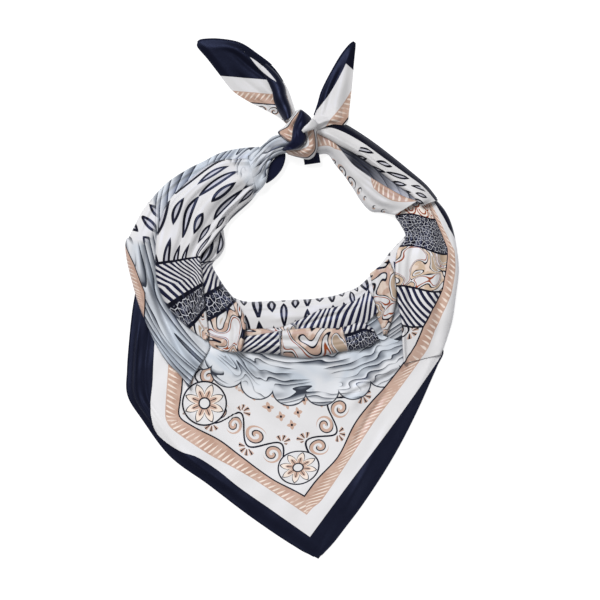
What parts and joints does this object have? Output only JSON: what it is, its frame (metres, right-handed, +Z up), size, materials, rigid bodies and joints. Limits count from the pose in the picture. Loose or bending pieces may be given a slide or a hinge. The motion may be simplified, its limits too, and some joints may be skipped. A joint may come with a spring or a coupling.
{
  "type": "tied silk scarf",
  "caption": "Square printed silk scarf folded to a triangle, gathered, tied into a ring at the back of the neck and laid flat.",
  "frame": {"origin": "middle of the bounding box in plan, on the surface that the scarf lies on", "axes": "+Y from the corner of the triangle to the knot and its two ears, +X to the right of the scarf as it lies seen from above, +Z up out of the surface"},
  "size_m": [0.3178, 0.496, 0.0331],
  "materials": {
    "white_silk": "printed satin",
    "navy_silk": "printed satin",
    "grey_silk": "printed satin",
    "peach_silk": "printed satin"
  },
  "bodies": {
    "root": {"hidden_layers": "grey_silk", "knot_core": "white_silk", "back_panel": "navy_silk", "left_back_strip": "grey_silk", "front_panel": "white_silk", "left_drape": "grey_silk", "neck_roll": "white_silk", "right_shoulder": "white_silk", "right_stripe_fold": "white_silk", "upper_roll": "white_silk", "lower_roll": "white_silk", "left_inner_fold": "white_silk", "left_shoulder": "white_silk", "right_inner_fold": "grey_silk", "right_lower_leaf": "peach_silk", "right_upper_leaf": "white_silk", "left_tab": "navy_silk", "left_gather": "grey_silk", "right_ear": "white_silk", "left_ear": "white_silk", "left_ear_turn": "navy_silk", "knot_under_corner": "navy_silk", "knot_left_wrap": "peach_silk", "knot_lower_loop": "white_silk", "knot_tongue": "white_silk", "knot_front_wrap": "navy_silk"}
  },
  "joints": []
}
